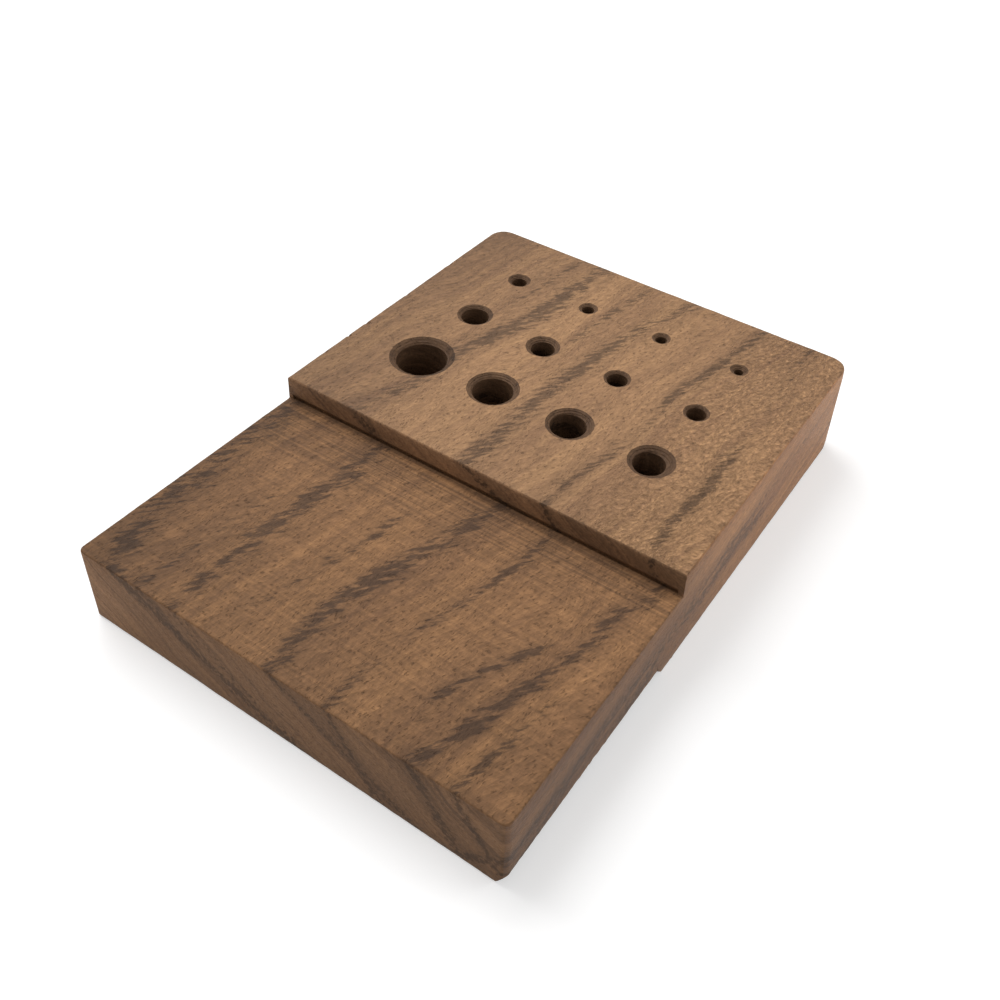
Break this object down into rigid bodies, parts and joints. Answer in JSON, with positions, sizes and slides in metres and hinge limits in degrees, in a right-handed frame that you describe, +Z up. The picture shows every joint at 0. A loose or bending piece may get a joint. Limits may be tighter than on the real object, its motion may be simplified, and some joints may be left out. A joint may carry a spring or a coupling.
{
  "type": "stepped tool stand",
  "caption": "Solid hardwood tool stand: flat front ledge, raised rear part with rows of graded countersunk blind holes.",
  "frame": {"origin": "middle of the block's width and length, on the surface it stands on", "axes": "+Z up, +X to the right when the ledge is in front, +Y to the rear; the ledge's front face looks along -Y"},
  "size_m": [0.1, 0.14, 0.024],
  "materials": {
    "oiled_walnut": "sanded walnut with a thin coat of oil, satin to matt; end grain on the front, the riser and the rear"
  },
  "bodies": {
    "root": {"tool_block": "oiled_walnut"}
  },
  "joints": []
}
